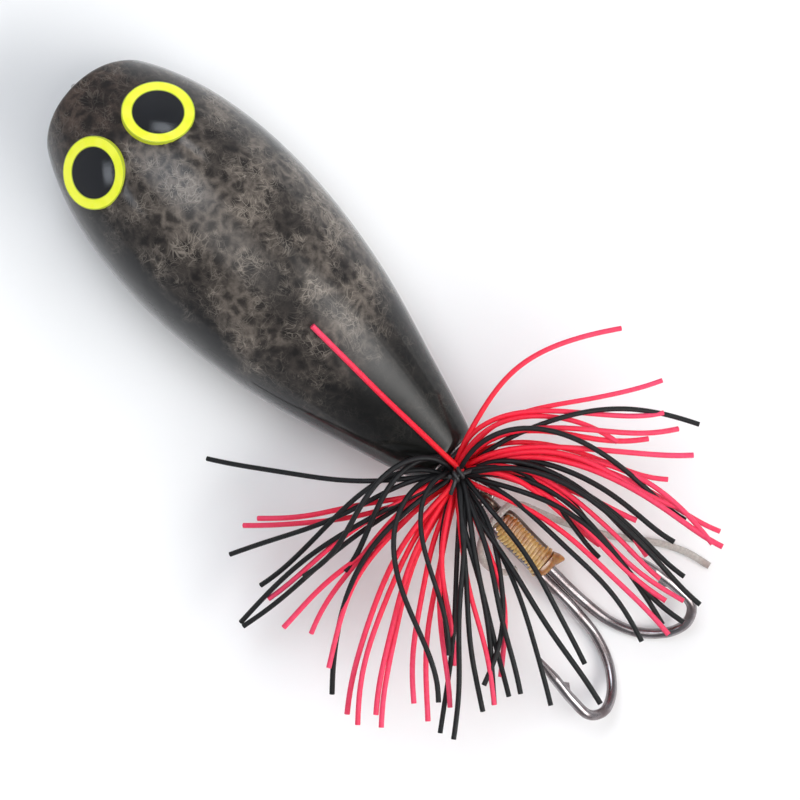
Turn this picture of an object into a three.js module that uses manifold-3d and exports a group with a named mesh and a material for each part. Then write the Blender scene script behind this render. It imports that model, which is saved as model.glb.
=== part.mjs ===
// Topwater popper of the jump-frog type: a hollow two-shell body on a through-wire, a rubber skirt
// tied behind the tail, and a pair of lashed hooks that swing on a ring at the tail eye.
//
// Millimetres. +X is towards the nose, +Y is the frog's left side and +Z is up. The origin is the
// middle of the flat of the belly, which the lure lies on. Stations are measured backwards from the
// tip of the nose, so x = NOSE_X - station.

import * as THREE from "three";
import { mergeVertices } from "three/addons/utils/BufferGeometryUtils.js";
import Module from "manifold-3d";

const wasm = await Module();
wasm.setup();

// ---- Driving dimensions ----------------------------------------------------------------------

const NOSE_X = 22; // from the origin to the tip of the nose
const BODY_LENGTH = 50;
const WIRE_Z = 7.6; // height of the parting plane and of the through-wire
const WALL = 1.6;
const SEAM = 0.05; // half of the gap between the two shells

// Body outline: [station, half width, height of the back, height of the belly].
const BODY_OUTLINE = [
  [-0.6, 4.0, 11.9, 2.6],
  [2.3, 6.1, 13.3, 1.9],
  [6.9, 8.3, 15.2, 0.7],
  [13, 9.75, 17.0, -0.25],
  [19.5, 10.2, 17.8, -0.5],
  [27, 9.65, 17.0, -0.3],
  [34, 8.35, 15.2, 0.7],
  [42, 5.95, 12.7, 2.6],
  [48, 4.1, 11.1, 4.3],
  [BODY_LENGTH, 3.4, 10.6, 4.8],
];
const BACK_ROUNDNESS = 2.05; // exponents of the cross-section's two halves, 2 being an ellipse
const BELLY_ROUNDNESS = 2.3;

const FACE_TOP = { station: -0.05, z: 12.0 }; // the slanted mouth face passes through these two
const FACE_CHIN = { station: 5.0, z: 3.0 };
const CUP = { depth: 2.9, halfWidth: 5.1, halfHeight: 4.3, z: 7.5 };

const CHAMBERS = [12, 19.2, 26.4, 33.6]; // front station of each hollow chamber
const CHAMBER_LENGTH = 6;
const PIN_STATIONS = [18.6, 33.0]; // locating pins stand on the ribs at these stations
const PIN_Y = 5.2;
const PIN_RADIUS = 0.6;

const EYE = { station: 7.1, y: 4.1, radius: 3.5, pupilRadius: 2.45, forward: 0.344, outward: 0.414 };
const EYE_CLEARANCE = 0.1;

const WIRE_RADIUS = 0.35;
const WIRE_CHANNEL_RADIUS = 0.5;
const LINE_TIE = { station: 1.25, radius: 1.25 };
const TAIL_EYE = { station: 53.3, radius: 0.8 };
const RING = { radius: 1.3, wireRadius: 0.3 };
const HANGER = { eyeRadius: 0.85, wireRadius: 0.4 };
const FERRULE = { front: 46.9, back: 51.85, inner: 0.5, outer: 1.2 };

const HOOK_DROOP = THREE.MathUtils.degToRad(20.3); // the hooks trail down on to the surface
const HOOK_WIRE_RADIUS = 0.5;
// The hook's centre line in its own plane: distance behind the tail eye, and towards the point.
const HOOK_LINE = [
  [4.9, 0],
  [11, 0],
  [16.5, 0.05],
  [20.3, 0.6],
  [22.9, 2.0],
  [24.5, 4.2],
  [24.7, 6.4],
  [23.4, 8.1],
  [21, 8.25],
  [18.6, 7.95],
  [16.6, 7.65],
];
const HOOK_POINT = [14.9, 7.3];
const HOOK_BARB = { root: [18.3, 7.75], tip: [20.1, 7.05], heel: [19.9, 8.0], width: 0.3 };
const HOOKS = [
  { name: "hook_left", y: 1.55, lean: 50, side: 1 }, // lean is the angle from upright, in degrees
  { name: "hook_right", y: 0.48, lean: 61, side: -1 },
];
const HANGER_Y = -0.48; // the hanger wire lies beside the right shank
const HANGER_RISE = 0.15;

const LASHING = { front: 4.75, back: 11.3, y: 0.58, halfWidth: 1.62, halfThickness: 0.78, rise: 0.05 };
const RESIN = { back: 12.4, halfWidth: 1.75, halfThickness: 0.85, gap: 0.1 };
const LASHED_CLEARANCE = 0.06;

const STRAND_RADIUS = 0.28;
const SKIRT = { front: 50.35, flare: 51.6, rootRadius: 1.68, reach: 24.5 };
const SKIRT_BAND = { front: 50.15, back: 50.6, inner: 2.15, outer: 2.6 };
const SKIRT_TIE = { front: 50.7, back: 50.98, inner: 2.15, outer: 2.5 };
// The tufts of strands in order round the ferrule, from low on the right over the top to under the
// left side. Heading is the way a tuft points, seen from above: 0 is straight back and positive is
// to the left. Fan is how far its strands spread. Mid and tip are their heights over the surface,
// and reach is their length seen from above as a share of the skirt's.
const FIRST_ROOT_ANGLE = 200;
const ROOT_ANGLE_STEP = -27;
const TUFTS = [
  { name: "red_01", heading: -84, fan: 14, strands: 4, mid: 9.5, tip: 6.5, reach: 0.84 },
  { name: "black_01", heading: -63, fan: 8, strands: 3, mid: 11.0, tip: 8.0, reach: 0.9 },
  { name: "red_02", heading: -47, fan: 12, strands: 4, mid: 12.0, tip: 9.0, reach: 0.86 },
  { name: "black_02", heading: -31, fan: 8, strands: 3, mid: 13.0, tip: 9.5, reach: 0.92 },
  { name: "red_03", heading: -16, fan: 12, strands: 4, mid: 13.5, tip: 9.5, reach: 0.98 },
  { name: "black_03", heading: 0, fan: 8, strands: 3, mid: 13.5, tip: 9.0, reach: 1.0 },
  { name: "black_04", heading: 19, fan: 11, strands: 3, mid: 13.0, tip: 9.0, reach: 1.0 },
  { name: "red_04", heading: 38, fan: 9, strands: 3, mid: 12.0, tip: 8.5, reach: 0.92 },
  { name: "black_05", heading: 53, fan: 8, strands: 3, mid: 11.0, tip: 8.0, reach: 1.0 },
  { name: "red_05", heading: 68, fan: 10, strands: 4, mid: 9.5, tip: 6.5, reach: 1.0 },
  { name: "black_06", heading: 85, fan: 8, strands: 3, mid: 7.5, tip: 4.5, reach: 1.0 },
  { name: "red_06", heading: 102, fan: 10, strands: 3, mid: 5.5, tip: 2.5, reach: 0.92 },
  { name: "black_07", heading: 124, fan: 16, strands: 3, mid: 3.2, tip: 1.0, reach: 0.95 },
];

// Centre line of the backing cord, from where it leaves the lashing to its free end.
const CORD_RADIUS = 0.35;
const CORD_ROUTE = [
  [-40.3, 2.75, 4.0],
  [-39.9, 3.6, 4.2],
  [-38.9, 4.35, 4.5],
  [-37.6, 4.5, 4.9],
  [-36.5, 3.9, 5.5],
  [-35.8, 2.8, 6.3],
  [-35.45, 1.5, 6.9],
  [-35.4, 0.1, 7.15],
  [-35.5, -1.1, 6.75],
  [-36.3, -1.9, 5.8],
  [-37.7, -2.5, 4.6],
  [-39.3, -3.1, 3.2],
  [-41.0, -3.9, 1.8],
  [-42.8, -4.8, 0.85],
  [-44.6, -5.9, 0.5],
  [-46.5, -7.3, 0.45],
  [-48.6, -8.8, 0.45],
  [-50.9, -9.9, 0.45],
  [-53.3, -10.5, 0.45],
];

// ---- Solids ----------------------------------------------------------------------------------

// A closed geometry as a solid that can be joined and cut.
function solid(geometry) {
  const bare = geometry.index ? geometry.toNonIndexed() : geometry.clone();
  bare.deleteAttribute("normal");
  bare.deleteAttribute("uv");
  const merged = mergeVertices(bare, 1e-4);
  return new wasm.Manifold(
    new wasm.Mesh({
      numProp: 3,
      vertProperties: merged.attributes.position.array,
      triVerts: new Uint32Array(merged.index.array),
    }),
  );
}

// A solid back as a geometry.
function geometryOf(made) {
  const mesh = made.getMesh();
  const geometry = new THREE.BufferGeometry();
  geometry.setAttribute("position", new THREE.BufferAttribute(mesh.vertProperties, 3));
  geometry.setIndex(new THREE.BufferAttribute(mesh.triVerts, 1));
  return geometry;
}

const join = (first, ...rest) => rest.reduce((whole, piece) => whole.add(piece), first);
const cut = (first, ...rest) => rest.reduce((whole, piece) => whole.subtract(piece), first);

// The largest body of a solid: any pocket trapped between the pieces it was joined from is filled.
function outerBody(made) {
  return made.decompose().reduce((best, body) => (body.volume() > best.volume() ? body : best));
}

// A box between two corners.
function block(low, high) {
  const size = high.map((value, axis) => value - low[axis]);
  const box = new THREE.BoxGeometry(...size);
  return box.translate(...low.map((value, axis) => value + size[axis] / 2));
}

// A cylinder whose axis runs between two points.
function rod(from, to, radius, sides) {
  const start = new THREE.Vector3(...from);
  const along = new THREE.Vector3(...to).sub(start);
  const geometry = new THREE.CylinderGeometry(radius, radius, along.length(), sides);
  const turn = new THREE.Quaternion().setFromUnitVectors(
    new THREE.Vector3(0, 1, 0),
    along.clone().normalize(),
  );
  return geometry.applyQuaternion(turn).translate(...start.addScaledVector(along, 0.5).toArray());
}

// A round wire bent along a smooth curve through the points.
function bentWire(points, radius, sides, steps) {
  const section = new THREE.Shape();
  for (let side = 0; side < sides; side += 1) {
    const angle = (2 * Math.PI * side) / sides;
    const corner = [radius * Math.cos(angle), radius * Math.sin(angle)];
    if (side === 0) section.moveTo(...corner);
    else section.lineTo(...corner);
  }
  section.closePath();
  const route = new THREE.CatmullRomCurve3(points.map((point) => new THREE.Vector3(...point)));
  route.curveType = "centripetal";
  return new THREE.ExtrudeGeometry(section, { steps, bevelEnabled: false, extrudePath: route });
}

// A closed ring of rectangular section about the through-wire, between two stations.
function washerOnWire({ front, back, inner, outer }, sides) {
  const halfLength = (back - front) / 2;
  const profile = [
    [inner, -halfLength],
    [outer, -halfLength],
    [outer, halfLength],
    [inner, halfLength],
    [inner, -halfLength],
  ].map((corner) => new THREE.Vector2(...corner));
  const geometry = new THREE.LatheGeometry(profile, sides).rotateZ(-Math.PI / 2);
  return geometry.translate(NOSE_X - front - halfLength, 0, WIRE_Z);
}

// ---- Body ------------------------------------------------------------------------------------

// One smooth curve of the body's outline: column 1 is the half width, 2 the back and 3 the belly.
function outlineCurve(column) {
  const points = BODY_OUTLINE.map((row) => new THREE.Vector2(row[0], row[column]));
  return new THREE.SplineCurve(points);
}

const OUTLINE = [1, 2, 3].map(outlineCurve);

// Half width, back height and belly height at a parameter from 0 at the nose to 1 at the tail.
function bodyAt(parameter) {
  const [width, back, belly] = OUTLINE.map((curve) => curve.getPoint(parameter));
  return { station: width.x, halfWidth: width.y, back: back.y, belly: belly.y };
}

// A half cross-section's point at an angle from the left side over the back, or under the belly.
function sectionPoint(body, angle, inset) {
  const over = Math.sin(angle) >= 0;
  const power = 2 / (over ? BACK_ROUNDNESS : BELLY_ROUNDNESS);
  const rise = over ? body.back - WIRE_Z : WIRE_Z - body.belly;
  const side = Math.cos(angle);
  const up = Math.sin(angle);
  return [
    Math.sign(side) * Math.abs(side) ** power * (body.halfWidth - inset),
    WIRE_Z + Math.sign(up) * Math.abs(up) ** power * (rise - inset),
  ];
}

// The body's closed skin, moved in by the inset, with so many stations and points around.
function bodySkin(inset, stations, around) {
  const positions = [];
  const faces = [];
  for (let row = 0; row <= stations; row += 1) {
    const body = bodyAt(row / stations);
    for (let step = 0; step < around; step += 1) {
      const [y, z] = sectionPoint(body, (2 * Math.PI * step) / around, inset);
      positions.push(NOSE_X - body.station, y, z);
    }
  }
  const noseCentre = positions.length / 3;
  positions.push(NOSE_X - bodyAt(0).station, 0, WIRE_Z);
  const tailCentre = noseCentre + 1;
  positions.push(NOSE_X - bodyAt(1).station, 0, WIRE_Z);
  for (let step = 0; step < around; step += 1) {
    const next = (step + 1) % around;
    for (let row = 0; row < stations; row += 1) {
      const here = row * around;
      const behind = here + around;
      faces.push(here + step, behind + step, behind + next);
      faces.push(here + step, behind + next, here + next);
    }
    const last = stations * around;
    faces.push(noseCentre, step, next);
    faces.push(tailCentre, last + next, last + step);
  }
  const geometry = new THREE.BufferGeometry();
  geometry.setAttribute("position", new THREE.Float32BufferAttribute(positions, 3));
  return geometry.setIndex(faces);
}

// The direction in which an eye looks; side is 1 on the left and -1 on the right.
function eyeNormal(side) {
  const upward = Math.sqrt(1 - EYE.forward ** 2 - EYE.outward ** 2);
  return new THREE.Vector3(EYE.forward, side * EYE.outward, upward);
}

// The point of the back's surface at the middle of an eye.
function eyeCentre(side) {
  const rows = Array.from({ length: 101 }, (_, index) => bodyAt(index / 100));
  const body = rows.find((row) => row.station >= EYE.station);
  const share = (EYE.y / body.halfWidth) ** BACK_ROUNDNESS;
  const z = WIRE_Z + (body.back - WIRE_Z) * (1 - share) ** (1 / BACK_ROUNDNESS);
  return new THREE.Vector3(NOSE_X - EYE.station, side * EYE.y, z);
}

// A turned piece on an eye's axis: the profile is [radius, height over the back's surface].
function turnedOnEye(profile, side, sides) {
  const points = profile.map((corner) => new THREE.Vector2(...corner));
  const turn = new THREE.Quaternion().setFromUnitVectors(
    new THREE.Vector3(0, 1, 0),
    eyeNormal(side),
  );
  const geometry = new THREE.LatheGeometry(points, sides).applyQuaternion(turn);
  return geometry.translate(...eyeCentre(side).toArray());
}

const EYE_SIDES = 20;
const EYE_FLOOR = -1.0; // depth of the socket's floor under the back's surface

const discProfile = (radius, low, high) => [
  [0, low],
  [radius, low],
  [radius, high],
  [0, high],
];

function eyeSocket(side) {
  return solid(turnedOnEye(discProfile(EYE.radius + EYE_CLEARANCE, EYE_FLOOR, 3), side, EYE_SIDES));
}

function eyeRing(side) {
  const inner = EYE.pupilRadius + EYE_CLEARANCE;
  const profile = [
    [inner, EYE_FLOOR + 0.1],
    [EYE.radius, EYE_FLOOR + 0.1],
    [EYE.radius, EYE_FLOOR + 0.5],
    [inner, EYE_FLOOR + 0.5],
    [inner, EYE_FLOOR + 0.1],
  ];
  return turnedOnEye(profile, side, EYE_SIDES);
}

function eyePupil(side) {
  return turnedOnEye(discProfile(EYE.pupilRadius, EYE_FLOOR + 0.1, EYE_FLOOR + 0.5), side, EYE_SIDES);
}

function eyeLens(side) {
  const foot = EYE_FLOOR + 0.6;
  const profile = [
    [0, foot],
    [EYE.radius, foot],
    [EYE.radius, foot + 0.15],
    [EYE.radius * 0.86, foot + 0.5],
    [EYE.radius * 0.5, foot + 0.82],
    [0, foot + 0.95],
  ];
  return turnedOnEye(profile, side, EYE_SIDES);
}

// The slanted plane of the mouth, as the block of space in front of it.
function aheadOfFace() {
  const run = FACE_CHIN.station - FACE_TOP.station;
  const slant = Math.atan2(run, FACE_TOP.z - FACE_CHIN.z);
  const ahead = block([0, -20, -25], [15, 20, 15]).rotateY(slant);
  return solid(ahead.translate(NOSE_X - FACE_TOP.station, 0, FACE_TOP.z));
}

// The hollow of the mouth, a spoon-shaped cut into the slanted face.
function mouthCup() {
  const share = (FACE_TOP.z - CUP.z) / (FACE_TOP.z - FACE_CHIN.z);
  const run = FACE_CHIN.station - FACE_TOP.station;
  const slant = Math.atan2(run, FACE_TOP.z - FACE_CHIN.z);
  const spoon = new THREE.SphereGeometry(1, 18, 12);
  spoon.scale(CUP.depth, CUP.halfWidth, CUP.halfHeight).rotateY(slant);
  return solid(spoon.translate(NOSE_X - FACE_TOP.station - run * share, 0, CUP.z));
}

// One hollow chamber between two ribs.
function chamber(front) {
  const slab = block(
    [NOSE_X - front - CHAMBER_LENGTH, -20, -20],
    [NOSE_X - front, 20, 40],
  );
  return solid(bodySkin(WALL, 16, 16)).intersect(solid(slab));
}

function wireChannel() {
  const ends = [NOSE_X + 2, NOSE_X - BODY_LENGTH - 2];
  return solid(rod([ends[0], 0, WIRE_Z], [ends[1], 0, WIRE_Z], WIRE_CHANNEL_RADIUS, 8));
}

function ferruleSeat() {
  const front = NOSE_X - FERRULE.front + 0.1;
  const back = NOSE_X - BODY_LENGTH - 2;
  return solid(rod([front, 0, WIRE_Z], [back, 0, WIRE_Z], FERRULE.outer + 0.1, 16));
}

// The whole body, still in one piece, with everything that both shells share cut out of it.
function wholeBody() {
  const underFloor = solid(block([-60, -30, -10], [60, 30, 0]));
  return cut(
    solid(bodySkin(0, 26, 28)),
    underFloor,
    aheadOfFace(),
    mouthCup(),
    ...CHAMBERS.map(chamber),
    wireChannel(),
    ferruleSeat(),
  );
}

function pins(radius, top) {
  return PIN_STATIONS.flatMap((station) =>
    [-PIN_Y, PIN_Y].map((y) => {
      const x = NOSE_X - station;
      return solid(rod([x, y, WIRE_Z - 2], [x, y, top], radius, 10));
    }),
  );
}

const WHOLE_BODY = wholeBody();
const PIN_TOP = WIRE_Z + 1.4;

function backShell() {
  const lower = solid(block([-60, -30, -10], [60, 30, WIRE_Z + SEAM]));
  const sockets = [eyeSocket(1), eyeSocket(-1)];
  const pinHoles = pins(PIN_RADIUS + 0.1, PIN_TOP + 0.1);
  return geometryOf(cut(WHOLE_BODY, lower, ...sockets, ...pinHoles));
}

function bellyShell() {
  const upper = solid(block([-60, -30, WIRE_Z - SEAM], [60, 30, 40]));
  return geometryOf(join(cut(WHOLE_BODY, upper), ...pins(PIN_RADIUS, PIN_TOP)));
}

// ---- Inside the body -------------------------------------------------------------------------

const BELLY_WEIGHT = { station: 22.2, radius: 2.3, halfLength: 4.0, z: 4.15 };
const TAIL_WEIGHT = { station: 36.3, radius: 1.4, halfLength: 2.4, z: 4.85 };

// A cylindrical weight lying across the body.
function weight(size) {
  const x = NOSE_X - size.station;
  return rod([x, -size.halfLength, size.z], [x, size.halfLength, size.z], size.radius, 16);
}

// ---- Wires and rings -------------------------------------------------------------------------

// A ring of round wire. Its plane is upright along X, or level if asked.
function wireRing(x, z, radius, wireRadius, level) {
  const ring = new THREE.TorusGeometry(radius, wireRadius, 7, 16);
  if (level) return ring.translate(x, 0, z);
  return ring.rotateX(Math.PI / 2).translate(x, 0, z);
}

function throughWire() {
  const tieX = NOSE_X - LINE_TIE.station;
  const eyeX = NOSE_X - TAIL_EYE.station;
  const front = [tieX - LINE_TIE.radius, 0, WIRE_Z];
  const back = [eyeX + TAIL_EYE.radius, 0, WIRE_Z];
  return geometryOf(
    join(
      solid(wireRing(tieX, WIRE_Z, LINE_TIE.radius, WIRE_RADIUS, false)),
      solid(rod(front, back, WIRE_RADIUS, 8)),
      solid(wireRing(eyeX, WIRE_Z, TAIL_EYE.radius, WIRE_RADIUS, false)),
    ),
  );
}

// ---- Skirt -----------------------------------------------------------------------------------

// A point beside the ferrule, at a station and a distance from the wire.
function besideFerrule(station, radius, rootAngle) {
  const around = THREE.MathUtils.degToRad(rootAngle);
  return [NOSE_X - station, radius * Math.cos(around), WIRE_Z + radius * Math.sin(around)];
}

// Centre line of one strand: flaring out from behind the tie, and over to its tip.
function strandLine(size, rootAngle, heading, reachShare) {
  const angle = THREE.MathUtils.degToRad(heading);
  const outStation = SKIRT.flare + 0.7 + 0.4 * Math.cos(THREE.MathUtils.degToRad(size.heading));
  const plan = (share, z) => {
    const reach = SKIRT.reach * size.reach * reachShare * share;
    return [NOSE_X - SKIRT.flare - reach * Math.cos(angle), reach * Math.sin(angle), z];
  };
  return [
    besideFerrule(SKIRT.flare, SKIRT.rootRadius, rootAngle),
    besideFerrule(outStation, SKIRT.rootRadius + 1.3, rootAngle),
    plan(0.36, size.mid),
    plan(0.7, (size.mid * 1.1 + size.tip) / 2),
    plan(1, size.tip),
  ];
}

// A tuft: strands that share one root under the band.
function tuft(size, index) {
  const rootAngle = FIRST_ROOT_ANGLE + index * ROOT_ANGLE_STEP;
  const rootEnds = [SKIRT.front, SKIRT.flare + 0.1].map((station) =>
    besideFerrule(station, SKIRT.rootRadius, rootAngle),
  );
  const strands = Array.from({ length: size.strands }, (_, place) => {
    const heading = size.heading + (place / (size.strands - 1) - 0.5) * size.fan;
    const line = strandLine(size, rootAngle, heading, place % 2 ? 0.92 : 1);
    return solid(bentWire(line, STRAND_RADIUS, 5, 7));
  });
  const root = solid(rod(...rootEnds, STRAND_RADIUS, 8));
  return geometryOf(outerBody(join(root, ...strands)));
}

// ---- Hooks -----------------------------------------------------------------------------------

// A point behind the tail eye along the trailing hooks: distance back, sideways, and upwards.
function trailing(back, y, up) {
  return [-back, y, up];
}

// A point of a hook's plane in the trailing frame.
function onHook(hook, [back, gap]) {
  const lean = THREE.MathUtils.degToRad(hook.lean);
  return trailing(back, hook.y + hook.side * gap * Math.sin(lean), gap * Math.cos(lean));
}

// The ground needle point: a cone from the end of the bend.
function hookPoint(hook) {
  const base = new THREE.Vector3(...onHook(hook, HOOK_LINE[HOOK_LINE.length - 1]));
  const along = new THREE.Vector3(...onHook(hook, HOOK_POINT)).sub(base);
  const cone = new THREE.CylinderGeometry(0.03, HOOK_WIRE_RADIUS, along.length() + 0.2, 8);
  const turn = new THREE.Quaternion().setFromUnitVectors(
    new THREE.Vector3(0, 1, 0),
    along.clone().normalize(),
  );
  return cone.applyQuaternion(turn).translate(...base.addScaledVector(along, 0.47).toArray());
}

// The barb, a sliver raised from the inner side of the point.
function hookBarb(hook) {
  const corners = [HOOK_BARB.root, HOOK_BARB.tip, HOOK_BARB.heel];
  const outline = new THREE.Shape(corners.map((corner) => new THREE.Vector2(...corner)));
  const sliver = new THREE.ExtrudeGeometry(outline, { depth: HOOK_BARB.width, bevelEnabled: false });
  sliver.translate(0, 0, -HOOK_BARB.width / 2);
  const back = new THREE.Vector3(...trailing(1, 0, 0));
  const gap = new THREE.Vector3(...onHook(hook, [0, 1])).sub(
    new THREE.Vector3(...onHook(hook, [0, 0])),
  );
  const across = back.clone().cross(gap);
  const place = new THREE.Matrix4().makeBasis(back, gap, across);
  place.setPosition(...onHook(hook, [0, 0]));
  return sliver.applyMatrix4(place);
}

function hookGeometry(hook) {
  const line = HOOK_LINE.map((point) => onHook(hook, point));
  return geometryOf(
    join(
      solid(bentWire(line, HOOK_WIRE_RADIUS, 8, 24)),
      solid(hookPoint(hook)),
      solid(hookBarb(hook)),
    ),
  );
}

// The hanger: an eye on the swing ring, and a leg that is lashed beside the hooks' shanks.
function hangerLine() {
  const eyeBack = 2 * RING.radius + HANGER.eyeRadius;
  return [
    trailing(eyeBack, 0, 0),
    trailing(eyeBack + 0.5, 0, 0),
    trailing(LASHING.front + 0.4, HANGER_Y, HANGER_RISE),
    trailing(LASHING.back - 0.5, HANGER_Y, HANGER_RISE),
  ];
}

function hangerWire() {
  return geometryOf(
    join(
      solid(wireRing(-2 * RING.radius, 0, HANGER.eyeRadius, HANGER.wireRadius, false)),
      solid(bentWire(hangerLine(), HANGER.wireRadius, 8, 10)),
    ),
  );
}

// A bar with round edges along the shanks, which the lashing and the resin are cut from.
function lashedBar(front, back, halfWidth, halfThickness) {
  const flat = halfWidth - halfThickness;
  const section = new THREE.Shape();
  section.absarc(flat, 0, halfThickness, -Math.PI / 2, Math.PI / 2, false);
  section.absarc(-flat, 0, halfThickness, Math.PI / 2, (3 * Math.PI) / 2, false);
  section.closePath();
  const bar = new THREE.ExtrudeGeometry(section, {
    depth: back - front,
    bevelEnabled: false,
    curveSegments: 8,
  });
  // The section's x becomes the frame's y, and the extrusion runs backwards.
  const place = new THREE.Matrix4().makeBasis(
    new THREE.Vector3(0, 1, 0),
    new THREE.Vector3(0, 0, -1),
    new THREE.Vector3(-1, 0, 0),
  );
  return bar.applyMatrix4(place).translate(-front, LASHING.y, LASHING.rise);
}

// The holes that the shanks and the hanger leave in what is lashed over them.
function lashedHoles() {
  const shanks = HOOKS.map((hook) => {
    const ends = [HOOK_LINE[0][0] - 0.1, 14].map((back) => trailing(back, hook.y, 0));
    return solid(rod(...ends, HOOK_WIRE_RADIUS + LASHED_CLEARANCE, 12));
  });
  const leg = hangerLine();
  leg[leg.length - 1] = trailing(LASHING.back + 0.1 - 0.5, HANGER_Y, HANGER_RISE);
  return [...shanks, solid(bentWire(leg, HANGER.wireRadius + LASHED_CLEARANCE, 8, 10))];
}

function lashingThread() {
  const bar = lashedBar(LASHING.front, LASHING.back, LASHING.halfWidth, LASHING.halfThickness);
  return geometryOf(cut(solid(bar), ...lashedHoles()));
}

function resinBead() {
  const front = LASHING.back + RESIN.gap;
  const bar = lashedBar(front, RESIN.back, RESIN.halfWidth, RESIN.halfThickness);
  return geometryOf(cut(solid(bar), ...lashedHoles()));
}

// ---- Assembly --------------------------------------------------------------------------------

const finish = (color, roughness, metalness) => ({ color, roughness, metalness });
const FINISHES = {
  shell: finish(0x2a2725, 0.15, 0),
  lime: finish(0xd9e03c, 0.3, 0),
  pupil: finish(0x17181c, 0.2, 0),
  lens: finish(0xe8ecef, 0.05, 0),
  steel: finish(0x9a9a9e, 0.25, 1),
  blackSteel: finish(0x4b4a50, 0.2, 1),
  lead: finish(0x77797c, 0.5, 1),
  blackRubber: finish(0x1c1c20, 0.45, 0),
  redRubber: finish(0xf03050, 0.4, 0),
  thread: finish(0xc9a24e, 0.35, 0),
  resin: finish(0xa8641f, 0.15, 0),
  cord: finish(0xd4cfc8, 0.8, 0),
};

const lure = new THREE.Group();

// The trailing frame: at the tail eye, sloping down and back.
const trail = new THREE.Group();
trail.position.set(NOSE_X - TAIL_EYE.station, 0, WIRE_Z);
trail.rotation.y = -HOOK_DROOP;
lure.add(trail);

function addPiece(parent, name, geometry, look) {
  const mesh = new THREE.Mesh(geometry, new THREE.MeshStandardMaterial(look));
  mesh.name = name;
  parent.add(mesh);
}

addPiece(lure, "back_shell", backShell(), FINISHES.shell);
addPiece(lure, "belly_shell", bellyShell(), FINISHES.shell);
addPiece(lure, "belly_weight", weight(BELLY_WEIGHT), FINISHES.lead);
addPiece(lure, "tail_weight", weight(TAIL_WEIGHT), FINISHES.lead);
addPiece(lure, "through_wire", throughWire(), FINISHES.steel);
addPiece(lure, "tail_ferrule", washerOnWire(FERRULE, 14), FINISHES.blackSteel);

for (const [label, side] of [["left", 1], ["right", -1]]) {
  addPiece(lure, `eye_${label}_ring`, eyeRing(side), FINISHES.lime);
  addPiece(lure, `eye_${label}_pupil`, eyePupil(side), FINISHES.pupil);
  addPiece(lure, `eye_${label}_lens`, eyeLens(side), FINISHES.lens);
}

TUFTS.forEach((size, index) => {
  const look = size.name.startsWith("red") ? FINISHES.redRubber : FINISHES.blackRubber;
  addPiece(lure, `skirt_${size.name}`, tuft(size, index), look);
});
addPiece(lure, "skirt_band", washerOnWire(SKIRT_BAND, 18), FINISHES.blackRubber);
addPiece(lure, "skirt_tie", washerOnWire(SKIRT_TIE, 18), FINISHES.blackRubber);

addPiece(trail, "swing_ring", wireRing(-RING.radius, 0, RING.radius, RING.wireRadius, true), FINISHES.steel);
addPiece(trail, "hanger_wire", hangerWire(), FINISHES.steel);
for (const hook of HOOKS) addPiece(trail, hook.name, hookGeometry(hook), FINISHES.blackSteel);
addPiece(trail, "lashing_thread", lashingThread(), FINISHES.thread);
addPiece(trail, "resin_bead", resinBead(), FINISHES.resin);
addPiece(lure, "backing_cord", bentWire(CORD_ROUTE, CORD_RADIUS, 8, 24), FINISHES.cord);

export default lure;
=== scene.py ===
"""A topwater popper of the jump-frog type, seen from above on a pale floor.

Lengths are in millimetres until a mesh is made, and a mesh is in metres. Materials work in metres too, so
the scale of a noise is in cycles per metre. +X is towards the nose, +Y is the frog's left side and +Z is up.
Stations are measured backwards from the tip of the nose.
"""

import math
import random
import bmesh
import bpy
import numpy as np
from mathutils import Matrix, Vector
from mathutils.geometry import tessellate_polygon


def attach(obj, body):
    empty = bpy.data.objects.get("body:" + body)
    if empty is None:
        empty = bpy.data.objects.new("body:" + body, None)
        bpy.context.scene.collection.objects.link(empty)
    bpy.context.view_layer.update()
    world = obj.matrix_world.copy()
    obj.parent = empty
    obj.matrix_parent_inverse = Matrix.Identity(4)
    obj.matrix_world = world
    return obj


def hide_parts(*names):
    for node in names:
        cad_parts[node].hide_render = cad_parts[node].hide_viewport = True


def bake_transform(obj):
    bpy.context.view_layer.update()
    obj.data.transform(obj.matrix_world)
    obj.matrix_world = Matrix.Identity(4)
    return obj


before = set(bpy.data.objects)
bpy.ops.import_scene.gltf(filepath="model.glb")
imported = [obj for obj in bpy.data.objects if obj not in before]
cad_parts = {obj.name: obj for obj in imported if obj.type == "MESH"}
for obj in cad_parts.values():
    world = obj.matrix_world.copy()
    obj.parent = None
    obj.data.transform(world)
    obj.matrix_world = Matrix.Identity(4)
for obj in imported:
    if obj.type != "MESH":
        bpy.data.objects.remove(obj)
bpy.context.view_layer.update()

MM = 0.001
NOSE_X = 22.0  # from the origin to the tip of the nose
WIRE_Z = 7.6  # height of the through-wire and of the shells' parting plane
ROOT = "lure_body"
RING_BODY = "swing_ring"
HOOK_BODY = "hooks"
EYE_RADIUS, PUPIL_RADIUS = 3.5, 2.45


def placed(name, data):
    made = bpy.data.objects.new(name, data)
    bpy.context.scene.collection.objects.link(made)
    return made


# ---- Camera ----

# The camera looks straight down from far away, and the nose points up and to the left.
IMAGE_RIGHT = Vector((-0.708, -0.706, 0.0)).normalized()
IMAGE_UP = Vector((0.706, -0.708, 0.0)).normalized()
VIEW_CENTRE = (-21.0, -0.8, 8.0)
VIEW_WIDTH = 76.2  # at the height of VIEW_CENTRE
LENS = 400.0
SENSOR = 36.0


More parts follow.
